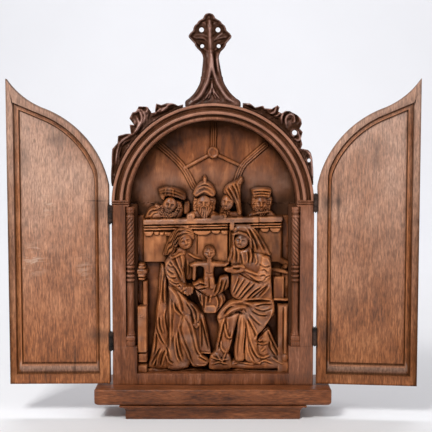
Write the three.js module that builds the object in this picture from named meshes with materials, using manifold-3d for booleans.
// A carved oak triptych: an arched relief in a moulded frame, two hinged wings and a stepped plinth.
// Millimetres. X to the right, Y to the back, Z up. The frame's face looks along -Y, and the origin
// is on the ground under the middle of the slab.
import * as THREE from 'three';
import { mergeVertices } from 'three/addons/utils/BufferGeometryUtils.js';
import Module from 'manifold-3d';

const wasm = await Module();
wasm.setup();

// Fits
const seatGap = 0.3; // between pieces that touch
const wingGap = 1.5; // between a shut wing and the frame's face
const barrelGap = 0.4; // round a hinge barrel
const floorGap = 1.7; // under a wing, above the slab

// Plinth
const footHeight = 22;
const footHalfWidth = 129;
const footDepth = 76;
const footFlare = 9;
const slabHeight = 25;
const slabHalfWidth = 174;
const slabDepth = 96;
const slabRound = 6;

// Frame
const frontY = -20;
const frameDepth = 60;
const outerRadius = 149;
const nicheRadius = 124;
const springZ = 316;
const railHeight = 17;
const stileFlat = 20;
const cornerRecess = 16;
const recessDepth = 16;
const impostHeight = 10;
const impostDrop = 3;
const impostGroove = 1.5;
const pedestalTop = 105;

// Arch moulding, from the outer edge inwards: widths and depths of its members
const outerFillet = 4;
const hollowWidth = 7.5;
const hollowDepth = 3.5;
const rollWidth = 4.5;
const rollDepth = 1;
const quirkWidth = 3;
const quirkDepth = 4.5;
const innerDepth = 2.5;

// Columns
const shaftRadius = 5.2;
const twistRadius = 5.9;
const twistTurns = 3;
const columnBlock = 13;
const baseTop = 121;
const ringsBottom = 200;
const ringsTop = 227;
const twistTop = 297;

// Relief
const panelBackInset = 4;
const reliefDepth = 34;
const parapetDrop = 17; // its top under the arch's spring
const corniceHeight = 22;
const corniceLip = 6;
const parapetHalfWidth = 104;
const bossRise = 79;
const lapRise = 86; // above the rail
const headsRise = 40; // above the spring

// Crest: heights above the crown of the arch
const crestThickness = 14;
const gableHalfWidth = 41;
const crestJointRise = 36;
const crestRise = 130;
const crestLean = 0.042;
const gableMargin = 5;
const gableFillet = 4;
const spandrelDepth = 5.5;
const finialHoleRadius = 3.6;

// Crockets: how far their strip and their highest leaf stand out from the arch
const crocketStrip = 3;
const crocketRise = 32;
const crocketRoot = 4;

// Wings
const wingMeeting = 0.5; // from a shut wing's free edge to the middle
const wingThickness = 16;
const hingeGap = 4;
const wingOverlap = 2.7; // how far a shut wing's curve runs past the arch
const wingTipRise = 35; // above the crown
const ogeeWidth = 53.5; // from the free edge to where the curve turns
const hingeBorder = 15;
const outerBorder = 9.6;
const sillBorder = 14;
const topBorder = 9.5;
const hingeMoulding = 6;
const outerMoulding = 10.4;
const sillMoulding = 19;
const topMoulding = 8;
const fieldDepth = 4.5;
const leftWingAjar = 1; // degrees forward of flat, as it stands
const rightWingAjar = 6.4;

// Hinges
const barrelRadius = 3.5;
const barrelBore = 1.5;
const pinRadius = 1.2;
const hingeLength = 26;
const middleKnuckle = 9.6;
const leafThickness = 1.2;
const leafWidth = 15.75;
const pinProud = 1.5;
const leftHingeZ = [302, 113];
const rightHingeZ = [319, 120];

// Places that follow from the sizes above
const slabBottom = footHeight + seatGap;
const slabTop = footHeight + slabHeight;
const frameBottom = slabTop + seatGap;
const frameBack = frontY + frameDepth;
const railTop = slabTop + railHeight;
const stileInner = outerRadius - stileFlat;
const nicheHalfWidth = stileInner - cornerRecess;
const recessBack = frontY + recessDepth;
const impostBottom = springZ - impostDrop;
const impostTop = impostBottom + impostHeight;
const groundY = frontY + reliefDepth;
const crownZ = springZ + outerRadius;
const bossZ = springZ + bossRise;
const parapetTop = springZ - parapetDrop;
const lapZ = railTop + lapRise;
const headsTopZ = springZ + headsRise;
const crestJointZ = crownZ + crestJointRise;
const crestTopZ = crownZ + crestRise;
const crocketBase = outerRadius + crocketStrip;
const wingBottom = slabTop + seatGap + floorGap;
const pinX = outerRadius + hingeGap / 2;
const pinY = frontY - wingGap / 2;
const wingCurve = outerRadius + wingOverlap;
const wingWidth = outerRadius - wingMeeting;
const wingTipZ = crownZ + wingTipRise;

// General shapes

const radians = THREE.MathUtils.degToRad;

function signedVolume(geometry) {
  const p = geometry.attributes.position;
  const index = geometry.index;
  const a = new THREE.Vector3();
  const b = new THREE.Vector3();
  const c = new THREE.Vector3();
  let volume = 0;
  for (let i = 0; i < index.count; i += 3) {
    a.fromBufferAttribute(p, index.getX(i));
    b.fromBufferAttribute(p, index.getX(i + 1));
    c.fromBufferAttribute(p, index.getX(i + 2));
    volume += a.dot(b.cross(c)) / 6;
  }
  return volume;
}

// Shared corners only, faces pointing out
function closed(geometry) {
  let bare = geometry.clone();
  bare.deleteAttribute('normal');
  bare.deleteAttribute('uv');
  bare = mergeVertices(bare, 1e-4);
  const kept = [];
  for (let i = 0; i < bare.index.count; i += 3) {
    const [a, b, c] = [0, 1, 2].map((k) => bare.index.getX(i + k));
    if (a !== b && b !== c && c !== a) kept.push(a, b, c);
  }
  bare.setIndex(kept);
  if (signedVolume(bare) < 0) {
    for (let i = 0; i < kept.length; i += 3) [kept[i], kept[i + 1]] = [kept[i + 1], kept[i]];
    bare.setIndex(kept);
  }
  return bare;
}

function solid(geometry) {
  const bare = closed(geometry);
  return new wasm.Manifold(new wasm.Mesh({
    numProp: 3,
    vertProperties: new Float32Array(bare.attributes.position.array),
    triVerts: new Uint32Array(bare.index.array),
  }));
}

function geometryOf(body) {
  const mesh = body.getMesh();
  const geometry = new THREE.BufferGeometry();
  geometry.setAttribute('position', new THREE.BufferAttribute(new Float32Array(mesh.vertProperties), 3));
  geometry.setIndex(Array.from(mesh.triVerts));
  return geometry;
}

function fromPoints(points, faces) {
  const geometry = new THREE.BufferGeometry();
  geometry.setAttribute('position', new THREE.Float32BufferAttribute(points.flat(), 3));
  geometry.setIndex(faces.flat());
  return closed(geometry);
}

function block(x0, x1, y0, y1, z0, z1) {
  const box = new THREE.BoxGeometry(x1 - x0, y1 - y0, z1 - z0);
  return box.translate((x0 + x1) / 2, (y0 + y1) / 2, (z0 + z1) / 2);
}

// An outline in X and Z, carried from y0 to y1
function prism(shape, y0, y1, curveSegments = 24) {
  const extruded = new THREE.ExtrudeGeometry(shape, { depth: y1 - y0, bevelEnabled: false, curveSegments });
  return extruded.rotateX(Math.PI / 2).translate(0, y1, 0);
}

function turned(profile, segments, x, y) {
  const points = profile.map(([r, z]) => new THREE.Vector2(r, z));
  return new THREE.LatheGeometry(points, segments).rotateX(Math.PI / 2).translate(x, y, 0);
}

// Loops with the same number of corners, joined in order and capped at both ends
function loft(loops, flat) {
  const n = loops[0].length;
  const faces = [];
  for (let k = 0; k + 1 < loops.length; k += 1) {
    for (let i = 0; i < n; i += 1) {
      const j = (i + 1) % n;
      faces.push([k * n + i, k * n + j, (k + 1) * n + j], [k * n + i, (k + 1) * n + j, (k + 1) * n + i]);
    }
  }
  const cap = (k, turn) => {
    const outline = loops[k].map((p) => new THREE.Vector2(...flat(p)));
    const wound = THREE.ShapeUtils.isClockWise(outline) ? -1 : 1;
    for (const [a, b, c] of THREE.ShapeUtils.triangulateShape(outline, [])) {
      faces.push(wound * turn > 0 ? [k * n + a, k * n + b, k * n + c] : [k * n + c, k * n + b, k * n + a]);
    }
  };
  const first = loops[0].map((p) => new THREE.Vector2(...flat(p)));
  const way = THREE.ShapeUtils.isClockWise(first) ? 1 : -1;
  cap(0, way);
  cap(loops.length - 1, -way);
  return fromPoints(loops.flat(), faces);
}

// Rectangles one above the other, each [how far it stands in, height]
function steppedBlock(halfX, halfY, profile) {
  const loops = profile.map(([inset, z]) => {
    const a = halfX - inset;
    const b = halfY - inset;
    return [[-a, -b, z], [a, -b, z], [a, b, z], [-a, b, z]];
  });
  return loft(loops, ([x, y]) => [x, y]);
}

// A block with a carved front: frontAt(x, z) gives the y of its face
function carvedBlock(xs, zs, frontAt, backY) {
  const points = [];
  const faces = [];
  for (const x of xs) for (const z of zs) points.push([x, frontAt(x, z), z]);
  const at = (i, j) => i * zs.length + j;
  for (let i = 0; i + 1 < xs.length; i += 1) {
    for (let j = 0; j + 1 < zs.length; j += 1) {
      const [a, b, c, d] = [at(i, j), at(i + 1, j), at(i + 1, j + 1), at(i, j + 1)];
      const rising = Math.abs(points[a][1] - points[c][1]);
      const falling = Math.abs(points[b][1] - points[d][1]);
      faces.push(...(rising < falling ? [[a, b, c], [a, c, d]] : [[a, b, d], [b, c, d]]));
    }
  }
  const [m, n] = [xs.length - 1, zs.length - 1];
  const corner = [[0, 0], [m, 0], [m, n], [0, n]].map(([i, j]) => {
    points.push([xs[i], backY, zs[j]]);
    return points.length - 1;
  });
  const edges = [
    xs.map((_, i) => at(i, 0)),
    zs.map((_, j) => at(m, j)),
    xs.map((_, i) => at(m - i, n)),
    zs.map((_, j) => at(0, n - j)),
  ];
  edges.forEach((edge, side) => {
    const [from, to] = [corner[side], corner[(side + 1) % 4]];
    for (let i = 0; i + 1 < edge.length; i += 1) faces.push([from, edge[i + 1], edge[i]]);
    faces.push([from, to, edge[edge.length - 1]]);
  });
  faces.push([corner[0], corner[2], corner[1]], [corner[0], corner[3], corner[2]]);
  return fromPoints(points, faces);
}

function steps(from, to, size) {
  const count = Math.max(1, Math.round((to - from) / size));
  return Array.from({ length: count + 1 }, (_, i) => from + ((to - from) * i) / count);
}

function mirrored(geometry) {
  const copy = geometry.clone().scale(-1, 1, 1);
  return closed(copy);
}

// Materials

const oak = (colour, roughness = 0.6) => new THREE.MeshStandardMaterial({ color: colour, roughness, metalness: 0 });
const oakFrame = oak(0x8a5c40);
const oakPlinth = oak(0x93664a);
const oakRelief = oak(0x7c4a2c, 0.52);
const oakWing = oak(0xa0765a, 0.62);
const oakCrest = oak(0x6f4a3c);
const iron = new THREE.MeshStandardMaterial({ color: 0x2c2624, roughness: 0.6, metalness: 0.8 });

const altarpiece = new THREE.Group();

function piece(name, geometry, material, parent = altarpiece) {
  const mesh = new THREE.Mesh(geometry, material);
  mesh.name = name;
  parent.add(mesh);
  return mesh;
}

// Plinth

function quarter(from, to, bend, count) {
  const curve = new THREE.QuadraticBezierCurve(
    new THREE.Vector2(...from), new THREE.Vector2(...bend), new THREE.Vector2(...to));
  return curve.getPoints(count).map((p) => [p.x, p.y]);
}

const footShoulder = footHeight - footFlare;
piece('foot', steppedBlock(footHalfWidth, footDepth / 2, [
  [0, 0],
  ...quarter([0, footShoulder], [-footFlare, footHeight - 1], [-1, footHeight - 2], 5),
  [-footFlare, footHeight],
]), oakPlinth);

piece('slab', steppedBlock(slabHalfWidth, slabDepth / 2, [
  ...quarter([slabRound, slabBottom], [0, slabBottom + slabRound], [0, slabBottom], 4),
  [0, slabTop - 1],
  [1, slabTop],
]), oakPlinth);

// Frame

function archRing() {
  const y = (depth) => frontY + depth;
  const a = outerRadius - outerFillet;
  const b = a - hollowWidth;
  const c = b - rollWidth;
  const d = c - quirkWidth;
  const profile = [
    [nicheRadius, frameBack], [nicheRadius, y(innerDepth)], [d - 0.5, y(innerDepth)], [d, y(quirkDepth)],
    [c, y(quirkDepth)], [c, y(rollDepth)], [b, y(rollDepth)], [b + 1, y(hollowDepth)],
    [(a + b) / 2 + 1, y(hollowDepth)], [a, y(rollDepth)], [a, frontY], [outerRadius, frontY],
    [outerRadius, frameBack], [nicheRadius, frameBack],
  ];
  const ring = new THREE.LatheGeometry(profile.map(([r, d2]) => new THREE.Vector2(r, d2)), 52);
  const reach = outerRadius + 1;
  const upper = block(-reach, reach, frontY - 1, frameBack + 1, springZ, springZ + reach);
  return solid(ring.translate(0, 0, springZ)).intersect(solid(upper));
}

function hingeMortise(z, side) {
  const half = hingeLength / 2 + pinProud + seatGap;
  const r = barrelRadius + barrelGap;
  return solid(turned([[0, z - half], [r, z - half], [r, z + half], [0, z + half]], 8, side * pinX, pinY));
}

function archFrame() {
  let frame = archRing();
  for (const side of [-1, 1]) {
    const span = (a, b) => [Math.min(side * a, side * b), Math.max(side * a, side * b)];
    const stile = block(...span(nicheHalfWidth, outerRadius), frontY, frameBack, frameBottom, springZ);
    const recess = block(...span(nicheHalfWidth - 1, stileInner), frontY - 1, recessBack,
      pedestalTop, impostBottom);
    const impost = block(...span(nicheRadius - seatGap, outerRadius), frontY, frameBack,
      springZ - 1, impostTop);
    frame = frame.add(solid(stile)).subtract(solid(recess)).add(solid(impost));
    for (const share of [0.25, 0.65]) {
      const z = impostBottom + share * impostHeight;
      const groove = block(...span(nicheHalfWidth - 1, outerRadius + 1), frontY - 1,
        frontY + impostGroove, z, z + impostGroove);
      frame = frame.subtract(solid(groove));
    }
    for (const z of side < 0 ? leftHingeZ : rightHingeZ) frame = frame.subtract(hingeMortise(z, side));
  }
  const rail = block(-nicheHalfWidth - 1, nicheHalfWidth + 1, frontY, frameBack, frameBottom, railTop);
  return geometryOf(frame.add(solid(rail)));
}

piece('arch_frame', archFrame(), oakFrame);

// Columns: block, plain shaft, turned rings, twisted shaft and cap

function twistedShaft(x, y, z0, z1, hand) {
  const sides = 8;
  const layers = 12;
  const loops = Array.from({ length: layers + 1 }, (_, k) => {
    const share = k / layers;
    return Array.from({ length: sides }, (_, i) => {
      const angle = (i / sides) * 2 * Math.PI;
      const phase = 2 * angle + hand * share * twistTurns * 2 * Math.PI;
      const r = twistRadius * (0.86 + 0.14 * Math.cos(phase));
      return [x + r * Math.cos(angle), y + r * Math.sin(angle), z0 + (z1 - z0) * share];
    });
  });
  return loft(loops, ([px, py]) => [px, py]);
}

function column(side) {
  const x = side * (stileInner - cornerRecess / 2 + 1.5);
  const y = frontY + recessDepth / 2 - 0.6;
  const half = columnBlock / 2;
  const bottom = pedestalTop + seatGap;
  const top = impostBottom - seatGap;
  const rings = [
    [0, baseTop - 1], [6.4, baseTop - 1], [6.4, baseTop + 3], [shaftRadius, baseTop + 5],
    [shaftRadius, ringsBottom], [6.3, ringsBottom + 3], [4.6, ringsBottom + 9],
    [6.4, ringsBottom + 14], [4.8, ringsBottom + 20], [6.2, ringsTop - 3], [6.2, ringsTop], [0, ringsTop],
  ];
  const cap = [
    [0, twistTop - 2], [6.2, twistTop - 2], [6.2, twistTop + 3], [4.9, twistTop + 6],
    [6.4, twistTop + 10], [6.4, top], [0, top],
  ];
  return geometryOf(solid(turned(rings, 8, x, y))
    .add(solid(block(x - half, x + half, y - half, y + half, bottom, baseTop)))
    .add(solid(twistedShaft(x, y, ringsTop - 1, twistTop - 1, side)))
    .add(solid(turned(cap, 8, x, y))));
}

piece('left_column', column(-1), oakFrame);
piece('right_column', column(1), oakFrame);

// Relief. Every form is a height above the ground of the niche, and the highest one shows.
// The figures are drawn once, for the niche and depth below, and stretch with the real ones.
const drawnNiche = { radius: 124, bottom: 64, height: 252, depth: 34 };

// A rounded limb from one joint [x, z, radius, height] to the next
function limb(x, z, [x0, z0, r0, h0], [x1, z1, r1, h1]) {
  const [dx, dz] = [x1 - x0, z1 - z0];
  const length2 = dx * dx + dz * dz || 1;
  const t = THREE.MathUtils.clamp(((x - x0) * dx + (z - z0) * dz) / length2, 0, 1);
  const r = r0 + (r1 - r0) * t;
  const d = Math.hypot(x - x0 - dx * t, z - z0 - dz * t) / r;
  if (d >= 1) return -Infinity;
  return h0 + (h1 - h0) * t - 0.6 * r * (1 - Math.sqrt(1 - d * d));
}

// A chain of limbs through several joints
function chain(...joints) {
  return (x, z) => Math.max(...joints.slice(1).map((joint, i) => limb(x, z, joints[i], joint)));
}

// An egg shape: middle, half width, half height and top
function egg(cx, cz, a, b, h) {
  return (x, z) => {
    const d = Math.hypot((x - cx) / a, (z - cz) / b);
    return d < 1 ? h - 0.6 * a * (1 - Math.sqrt(1 - d * d)) : -Infinity;
  };
}

// A flat-faced bar between two heights of x and z
function bar(x0, x1, z0, z1, h) {
  return (x, z) => (x > x0 && x < x1 && z > z0 && z < z1 ? h : -Infinity);
}

const motherFigure = [
  egg(-45, 266, 13, 14, 23), egg(-40, 262, 9, 11, 27),
  chain([-54, 262, 8, 21], [-64, 240, 8, 20]),
  chain([-47, 252, 7, 21], [-58, 230, 15, 23], [-50, 198, 16, 21]),
  chain([-64, 230, 12, 27], [-67, 206, 10, 28], [-44, 193, 6, 30], [-36, 188, 6, 30]),
  chain([-76, 236, 8, 17], [-82, 180, 10, 17], [-84, 120, 11, 19], [-86, 78, 13, 21]),
  chain([-64, 176, 5, 25], [-64, 104, 6, 25]),
  chain([-62, 190, 10, 28], [-48, 160, 11, 31]),
  chain([-44, 146, 11, 32], [-36, 108, 13, 31], [-29, 78, 10, 29], [-18, 69, 6, 29]),
  chain([-54, 140, 9, 28], [-53, 84, 8, 27]),
  chain([-30, 168, 8, 28], [-26, 140, 7, 27]),
  chain([-18, 144, 6, 27], [-9, 94, 8, 25]),
  chain([-90, 70, 8, 22], [-60, 70, 8, 25], [-30, 68, 6, 26]),
];
const childFigure = [
  egg(-6, 243, 8, 9, 27), chain([-7, 230, 8, 26], [-6, 206, 9, 26]),
  chain([-10, 229, 4, 26], [-28, 227, 4, 24], [-28, 206, 4, 22]), chain([-2, 229, 4, 26], [20, 227, 4, 25]),
  chain([-28, 200, 6, 26], [-6, 196, 7, 27], [10, 202, 6, 26]), chain([6, 196, 6, 24], [-4, 160, 9, 22]),
];
const grandmotherFigure = [
  egg(45, 272, 14, 15, 24), egg(42, 263, 9, 11, 27),
  chain([52, 276, 8, 23], [66, 252, 9, 21], [78, 242, 8, 20]),
  chain([46, 250, 9, 22], [55, 232, 17, 23], [56, 196, 20, 24]),
  chain([80, 234, 8, 26], [80, 210, 9, 28], [47, 221, 6, 30], [22, 220, 5, 29]),
  chain([30, 190, 12, 26], [22, 168, 10, 29]), chain([80, 190, 12, 22], [84, 160, 12, 24]),
  chain([18, 162, 5, 30], [45, 169, 7, 33], [64, 160, 6, 31]), egg(46, 154, 14, 11, 32),
  chain([60, 154, 8, 30], [76, 134, 8, 29], [88, 160, 7, 26]),
  chain([45, 146, 9, 32], [40, 110, 9, 31], [38, 78, 7, 30]),
  chain([52, 140, 7, 30], [60, 106, 6, 29], [72, 82, 6, 28]), chain([54, 110, 6, 27], [58, 76, 9, 28]),
  chain([14, 148, 6, 28], [7, 104, 5, 26]), chain([26, 146, 8, 27], [22, 112, 9, 26]),
  chain([84, 126, 8, 22], [100, 92, 8, 22], [112, 72, 6, 24]), chain([66, 72, 6, 27], [106, 70, 7, 26]),
];
const bystanders = [
  egg(-66, 318, 13, 17, 19), chain([-78, 338, 7, 19], [-52, 332, 8, 21]),
  chain([-92, 304, 10, 15], [-74, 304, 9, 16]),
  egg(-13, 316, 13, 18, 21), egg(-13, 338, 16, 15, 23), egg(-12, 356, 3.5, 4, 20),
  egg(-32, 297, 6, 7, 24), chain([-13, 306, 10, 20], [-13, 297, 7, 22]),
  egg(23, 321, 12, 14, 20), chain([20, 334, 8, 22], [38, 348, 6, 20]), chain([34, 336, 6, 20], [37, 314, 4, 18]),
  egg(73, 318, 12, 15, 19), chain([62, 337, 6, 21], [84, 337, 6, 21]),
  chain([56, 303, 9, 14], [92, 303, 9, 14]),
];
const bench = [
  bar(-112, -100, 64, 167, 28), bar(-107, -98, 167, 205, 20), egg(-102, 216, 11, 10, 26),
  bar(97, 114, 64, 170, 25), bar(94, 107, 170, 210, 18), chain([88, 225, 10, 14], [108, 225, 9, 12]),
];

function vaultHeight(x, z) {
  const rib = (joints) => {
    const near = chain(...joints.map(([jx, jz]) => [jx, jz, 5, 6]))(x, z);
    return near > 0 ? 5 : 0;
  };
  const side = Math.sign(x) || 1;
  const boss = Math.hypot(x, z - bossZ) < 9 ? 8 : 0;
  const across = (share) => side * share * nicheRadius / drawnNiche.radius;
  return Math.max(boss, rib([[0, bossZ], [0, springZ + nicheRadius]]),
    rib([[0, bossZ], [across(42), bossZ - 23], [across(78), bossZ + 8]]),
    rib([[across(42), bossZ - 23], [across(28), bossZ - 60]]));
}

function parapetHeight(x, z) {
  if (z > parapetTop) return 0;
  if (Math.abs(x) > parapetHalfWidth) return 4;
  if (z > parapetTop - corniceLip) return 22;
  if (z > parapetTop - corniceHeight) return 19;
  return 12;
}

const carvings = [...bystanders, ...bench, ...motherFigure, ...grandmotherFigure, ...childFigure];

function reliefHeight(x, z) {
  const ledge = z < railTop + 6 ? 26 : 0;
  const u = x * (drawnNiche.radius / nicheRadius);
  const w = drawnNiche.bottom + (z - railTop) * (drawnNiche.height / (springZ - railTop));
  const figures = Math.max(...carvings.map((form) => form(u, w)));
  return Math.max(vaultHeight(x, z), parapetHeight(x, z), ledge, figures) * (reliefDepth / drawnNiche.depth);
}

// The face of the relief, softened over a small square as a chisel would
function reliefFace(x, z) {
  const reach = 1.3;
  let sum = 0;
  for (const dx of [-reach, reach]) for (const dz of [-reach, reach]) sum += reliefHeight(x + dx, z + dz);
  return groundY - sum / 4;
}

function reliefPanel() {
  const r = nicheRadius - seatGap;
  const half = nicheHalfWidth - seatGap;
  const bottom = railTop + seatGap;
  const outline = new THREE.Shape();
  outline.moveTo(-half, bottom);
  outline.lineTo(half, bottom);
  outline.lineTo(half, springZ + seatGap);
  outline.absarc(0, springZ, r, Math.asin(seatGap / r), Math.PI - Math.asin(seatGap / r), false);
  outline.lineTo(-half, springZ + seatGap);
  const xs = [-nicheRadius, ...steps(-parapetHalfWidth - 5, parapetHalfWidth + 5, 6.8), nicheRadius];
  const skirts = steps(railTop, lapZ, 10);
  const figures = steps(lapZ, headsTopZ, 6.6);
  const vault = steps(headsTopZ, springZ + nicheRadius, 12);
  const zs = [...skirts, ...figures.slice(1), ...vault.slice(1)];
  const carved = solid(carvedBlock(xs, zs, reliefFace, frameBack));
  return geometryOf(carved.intersect(solid(prism(outline, frontY, frameBack - panelBackInset, 40))));
}

piece('relief_panel', reliefPanel(), oakRelief);

// Crest: half widths of the gable and the finial at rising heights above the crown, then leaned to
// the left. They are drawn for the half width and rise below, and stretch with the real ones.

const drawnCrest = { halfWidth: 41, rise: 130 };
const crestAcross = gableHalfWidth / drawnCrest.halfWidth;
const crestUp = crestRise / drawnCrest.rise;
const crestRow = ([half, rise]) => [half * crestAcross, crownZ + rise * crestUp];
const gableHalf = [[41, 1], [31, 8], [22, 19], [17, 32], [15, 41], [12.5, 53], [11.5, 65]].map(crestRow);
const leafHalf = [
  [15, 76], [22, 84], [31.5, 96], [26, 102], [18, 112], [12, 118], [7, 121], [5.5, 127],
].map(crestRow);
const finialArmZ = crownZ + 96 * crestUp;

const leanAt = (z) => -crestLean * (z - crownZ);

function halfWidthAt(z) {
  const rows = [...gableHalf, ...leafHalf, [0, crestTopZ]];
  const k = rows.findIndex(([, height]) => height > z);
  if (k <= 0) return k < 0 ? 0 : rows[0][0];
  const share = (z - rows[k - 1][1]) / (rows[k][1] - rows[k - 1][1]);
  return rows[k - 1][0] + (rows[k][0] - rows[k - 1][0]) * share;
}

// Front of the gable: a flat margin, a raised fillet and a sunk spandrel with a ridge up the middle
function gableFace(x, z) {
  const across = Math.abs(x - leanAt(z));
  const inside = (halfWidthAt(z) - across) * (z < crownZ + 15 * crestUp ? 0.6 : 0.95);
  const low = Math.hypot(x, z - springZ) < outerRadius + 2;
  if (low || inside < gableMargin) return frontY + 1;
  if (inside < gableMargin + gableFillet) return frontY;
  return frontY + spandrelDepth - Math.max(0, 3 - across / 2);
}

// Front of the finial: ridges up the stem and out along the arms, falling away between them
function finialFace(x, z) {
  const across = x - leanAt(z);
  const fall = (d) => 4.5 * (1 - Math.exp(-(d * d) / 36));
  return frontY + 0.5 + Math.min(fall(across), fall(z - finialArmZ));
}

function crestOutline(rows, close) {
  const outline = new THREE.Shape();
  const place = (side) => ([half, z]) => [side * half + leanAt(z), z];
  const right = rows.map(place(1));
  const left = rows.map(place(-1)).reverse();
  outline.moveTo(...right[0]);
  outline.splineThru(right.slice(1).map((p) => new THREE.Vector2(...p)));
  outline.lineTo(...left[0]);
  outline.splineThru(left.slice(1).map((p) => new THREE.Vector2(...p)));
  close(outline, left[left.length - 1], right[0]);
  return outline;
}

function rowAt(z) {
  return [halfWidthAt(z), z];
}

function ogeeCrest() {
  const inner = outerRadius + seatGap;
  const rows = [...gableHalf.filter(([, z]) => z < crestJointZ - 2), rowAt(crestJointZ - seatGap)];
  const outline = crestOutline(rows, (shape, [lx, lz], [rx, rz]) => {
    const a = Math.atan2(lz - springZ, lx);
    const b = Math.atan2(rz - springZ, rx);
    shape.absarc(0, springZ, inner, a, b, true);
  });
  const reach = gableHalf[0][0] + 4;
  const carved = carvedBlock(steps(-reach, reach, 7), steps(springZ + inner - 10, crestJointZ + 4, 8),
    gableFace, frontY + crestThickness + 2);
  const blank = solid(prism(outline, frontY - 1, frontY + crestThickness, 10));
  return geometryOf(solid(carved).intersect(blank));
}

function finial() {
  const rows = [rowAt(crestJointZ), ...gableHalf.filter(([, z]) => z > crestJointZ), ...leafHalf];
  const outline = crestOutline(rows, () => {});
  const top = new THREE.Shape().absellipse(
    leanAt(crestTopZ), leafHalf[leafHalf.length - 1][1], leafHalf[leafHalf.length - 1][0],
    3 * crestUp, 0, 2 * Math.PI);
  for (const [side, up] of [[-1, 11], [1, 11], [-1, -13], [1, -13]]) {
    const hole = new THREE.Path();
    const z = finialArmZ + up * crestUp;
    hole.absarc(side * 12 * crestAcross + leanAt(z), z, finialHoleRadius, 0, 2 * Math.PI, true);
    outline.holes.push(hole);
  }
  const reach = 36 * crestAcross;
  const carved = carvedBlock(steps(-reach - 4, reach, 7), steps(crestJointZ - 4, crestTopZ + 4, 8.5),
    finialFace, frontY + crestThickness + 2);
  const blank = solid(prism(outline, frontY - 1, frontY + crestThickness, 2.5))
    .add(solid(prism(top, frontY - 1, frontY + crestThickness, 6)));
  return geometryOf(solid(carved).intersect(blank));
}

piece('ogee_crest', ogeeCrest(), oakCrest);
piece('finial', finial(), oakCrest);

// Crockets: lobes round the arch, each [angle from the crown, half angle, how far its tip stands out].
// They are drawn for a highest leaf of the rise below, and stretch with the real one.

const drawnCrocketRise = 32;
const crocketOut = crocketRise / drawnCrocketRise;
const leftLobes = [
  [-66, 15, 13], [-60, 6, 21], [-54, 5, 23], [-46, 1.3, 20], [-41.3, 2.9, 30], [-36.6, 3.5, 32],
  [-29.3, 2.8, 21], [-24, 3.6, 14],
];
const rightLobes = [
  [20.3, 3, 10], [27, 1.8, 14], [30.5, 3, 14], [33.2, 1.8, 25], [37, 2, 19], [43.3, 6.2, 32],
  [50.6, 3.2, 22], [54.3, 2.2, 13], [62.5, 5, 15], [69, 10, 9],
];

function crockets(lobes, from, to, holes) {
  const lobeAt = (angle) => {
    let best = [crocketBase, 1];
    const root = crocketBase - crocketRoot;
    for (const [middle, half, out] of lobes) {
      const t = (angle - middle) / half;
      const tip = outerRadius + out * crocketOut;
      const reach = Math.abs(t) < 1 ? root + (tip - root) * Math.sqrt(1 - t * t) : 0;
      if (reach > best[0]) best = [reach, Math.abs(t)];
    }
    return best;
  };
  const place = (angle, r) => [r * Math.sin(radians(angle)), springZ + r * Math.cos(radians(angle))];
  const inner = outerRadius + seatGap;
  const angles = steps(from, to, 1.6);
  const outer = angles.map((angle) => place(angle, lobeAt(angle)[0]));
  const back = steps(from, to, 5.5).reverse().map((angle) => place(angle, inner));
  const outline = new THREE.Shape([...outer, ...back].map((p) => new THREE.Vector2(...p)));
  for (const [angle, out, size] of holes) {
    const hole = new THREE.Path();
    const middle = place(angle, outerRadius + out * crocketOut);
    hole.absarc(...middle, size * crocketOut, 0, 2 * Math.PI, false);
    outline.holes.push(hole);
  }
  const face = (x, z) => {
    const angle = THREE.MathUtils.radToDeg(Math.atan2(x, z - springZ));
    const [, edge] = lobeAt(angle);
    return frontY + 0.5 + 4 * edge * edge;
  };
  const xsAll = outer.map(([x]) => x);
  const zsAll = [...outer, ...back].map(([, z]) => z);
  const carved = carvedBlock(
    steps(Math.min(...xsAll) - 3, Math.max(...xsAll) + 3, 9),
    steps(Math.min(...zsAll) - 3, Math.max(...zsAll) + 3, 9),
    face, frontY + crestThickness + 2);
  const blank = solid(prism(outline, frontY - 1, frontY + crestThickness, 3));
  return geometryOf(solid(carved).intersect(blank));
}

piece('left_crockets', crockets(leftLobes, -80, -17, []), oakCrest);
piece('right_crockets', crockets(rightLobes, 17, 79, [[48.4, 11, 3.8], [65.3, 7, 2.6]]), oakCrest);

// Wings, drawn open to the right: u runs from the hinge edge outwards

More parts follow.
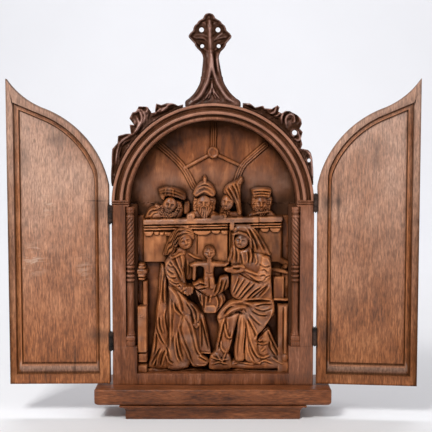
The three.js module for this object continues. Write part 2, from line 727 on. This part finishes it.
function wingLoop(hingeIn, sillIn, outerIn, topIn, straight) {
  const arcCount = 12;
  const endCount = 6;
  const r = wingCurve - topIn;
  const uLow = hingeIn;
  const uHigh = wingWidth - outerIn;
  const curveZ = (u) => springZ + Math.sqrt(Math.max(0, r * r - (outerRadius - u) ** 2));
  const loop = [[uLow, wingBottom + sillIn], [uHigh, wingBottom + sillIn]];
  const slope = 0.42;
  const turnU = straight ? outerRadius - r * Math.sin(Math.atan(slope)) : wingWidth - ogeeWidth;
  const turnZ = curveZ(turnU);
  if (straight) {
    for (let i = 0; i < endCount; i += 1) {
      const u = uHigh + ((turnU - uHigh) * i) / endCount;
      loop.push([u, turnZ + (u - turnU) * slope]);
    }
  } else {
    const out = new THREE.Vector2(turnU - outerRadius, turnZ - springZ).normalize();
    const reach = new THREE.Vector2(wingWidth - turnU, wingTipZ - turnZ);
    const radius = reach.lengthSq() / (2 * reach.dot(out));
    const centre = new THREE.Vector2(turnU, turnZ).addScaledVector(out, radius);
    const a = Math.atan2(wingTipZ - centre.y, wingWidth - centre.x);
    const b = Math.atan2(turnZ - centre.y, turnU - centre.x);
    for (let i = 0; i < endCount; i += 1) {
      const angle = a + ((b - a) * i) / endCount;
      loop.push([centre.x + radius * Math.cos(angle), centre.y + radius * Math.sin(angle)]);
    }
  }
  const a = Math.acos((outerRadius - turnU) / r);
  const b = Math.acos(Math.min(1, (outerRadius - uLow) / r));
  for (let i = 0; i <= arcCount; i += 1) {
    const angle = a + ((b - a) * i) / arcCount;
    loop.push([outerRadius - r * Math.cos(angle), springZ + r * Math.sin(angle)]);
  }
  return loop;
}

function wing(side) {
  const at = (loop, depth) => loop.map(([u, z]) => [pinX + hingeGap / 2 + u, frontY + depth, z]);
  const inner = (share) => wingLoop(
    hingeBorder + share * hingeMoulding, sillBorder + share * sillMoulding,
    outerBorder + share * outerMoulding, topBorder + share * topMoulding, true);
  const outline = wingLoop(0, 0, 0, 0, false);
  const board = loft([
    at(outline, wingThickness),
    at(outline, 0),
    at(inner(0), 0),
    at(inner(0.08), 3.2),
    at(inner(0.3), 3.2),
    at(inner(0.6), 2),
    at(inner(0.78), 2),
    at(inner(0.82), fieldDepth + 0.8),
    at(inner(0.95), fieldDepth + 0.8),
    at(inner(1), fieldDepth),
  ], ([x, , z]) => [x, z]);
  let body = solid(board);
  for (const z of side < 0 ? leftHingeZ : rightHingeZ) body = body.subtract(hingeMortise(z, 1));
  const shaped = geometryOf(body);
  return side < 0 ? mirrored(shaped) : closed(shaped);
}

function wingSwing(side, ajar) {
  const swing = new THREE.Group();
  swing.position.set(side * pinX, pinY, 0);
  swing.rotation.z = radians(-side * ajar);
  altarpiece.add(swing);
  return swing;
}

const leftSwing = wingSwing(-1, leftWingAjar);
const rightSwing = wingSwing(1, rightWingAjar);

function onSwing(mesh, side) {
  mesh.position.set(-side * pinX, -pinY, 0);
}

onSwing(piece('left_wing', wing(-1), oakWing, leftSwing), -1);
onSwing(piece('right_wing', wing(1), oakWing, rightSwing), 1);

// Hinges: a leaf on the frame's edge with two knuckles, a leaf on the wing's with one, and a pin

function hingeLeaf(side, z, onWing) {
  const way = onWing ? 1 : -1;
  const half = hingeLength / 2;
  const middle = middleKnuckle / 2;
  const leafFace = hingeGap / 2 - seatGap;
  const x = side * pinX;
  const [xa, xb] = [x + side * way * (leafFace - leafThickness), x + side * way * leafFace];
  const [x0, x1] = [Math.min(xa, xb), Math.max(xa, xb)];
  const plateY = pinY + barrelRadius + barrelGap;
  const ranges = onWing
    ? [[z - middle, z + middle]]
    : [[z - half, z - middle - seatGap], [z + middle + seatGap, z + half]];
  let leaf = solid(block(x0, x1, plateY, pinY + leafWidth, z - half, z + half));
  for (const [z0, z1] of ranges) {
    const barrel = turned([[0, z0], [barrelRadius, z0], [barrelRadius, z1], [0, z1]], 6, x, pinY);
    leaf = leaf.add(solid(block(x0, x1, pinY, plateY + 1, z0, z1))).add(solid(barrel));
  }
  const bore = turned([[0, z - half - 1], [barrelBore, z - half - 1], [barrelBore, z + half + 1],
    [0, z + half + 1]], 6, x, pinY);
  return geometryOf(leaf.subtract(solid(bore)));
}

function hingePin(side, z) {
  const end = hingeLength / 2 + pinProud;
  return closed(turned([
    [0, z - end], [pinRadius, z - end], [pinRadius, z + end], [0, z + end],
  ], 8, side * pinX, pinY));
}

for (const [side, word, heights, swing] of [
  [-1, 'left', leftHingeZ, leftSwing], [1, 'right', rightHingeZ, rightSwing],
]) {
  heights.forEach((z, i) => {
    const name = `${word}_${i === 0 ? 'upper' : 'lower'}_hinge`;
    piece(`${name}_frame_leaf`, hingeLeaf(side, z, false), iron);
    onSwing(piece(`${name}_wing_leaf`, hingeLeaf(side, z, true), iron, swing), side);
    piece(`${name}_pin`, hingePin(side, z), iron);
  });
}

export default altarpiece;
